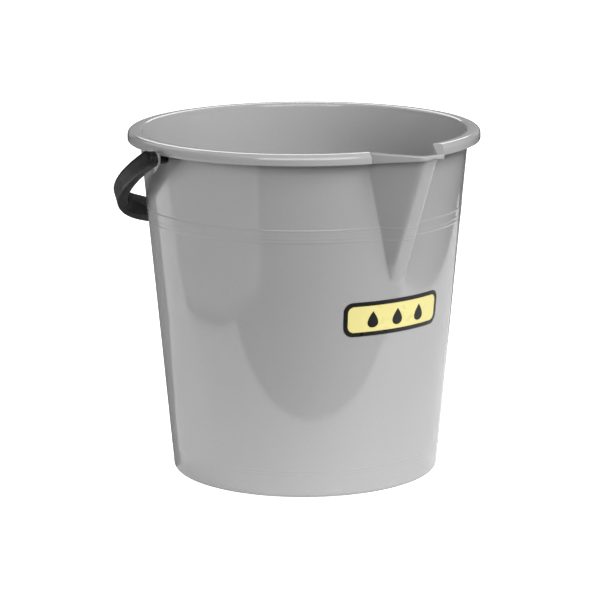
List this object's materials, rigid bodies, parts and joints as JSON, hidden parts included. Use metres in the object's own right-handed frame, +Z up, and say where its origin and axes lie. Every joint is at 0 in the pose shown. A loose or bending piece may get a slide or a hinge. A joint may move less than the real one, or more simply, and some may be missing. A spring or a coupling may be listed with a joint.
{
  "type": "pouring bucket",
  "caption": "Round tapered plastic bucket with a rolled rim, a flared pouring spout and a folding bail handle.",
  "frame": {"origin": "centre of the underside of the base", "axes": "+Z up through the open mouth, -Y towards the spout, +X along the handle's pivot"},
  "size_m": [0.298, 0.3093, 0.2707],
  "materials": {
    "grey_plastic": "satin silver-grey polypropylene",
    "black_plastic": "fine moulded black",
    "label_film": "satin printed film"
  },
  "bodies": {
    "bucket": {"bucket_body": "grey_plastic", "label": "label_film"},
    "handle": {"bail_handle": "black_plastic"}
  },
  "joints": [
    {"name": "handle_pivot", "type": "hinge", "parent": "bucket", "child": "handle", "pos_m": [0, 0, 0.2582], "axis": [1, 0, 0], "range_deg": [0, 199]}
  ]
}
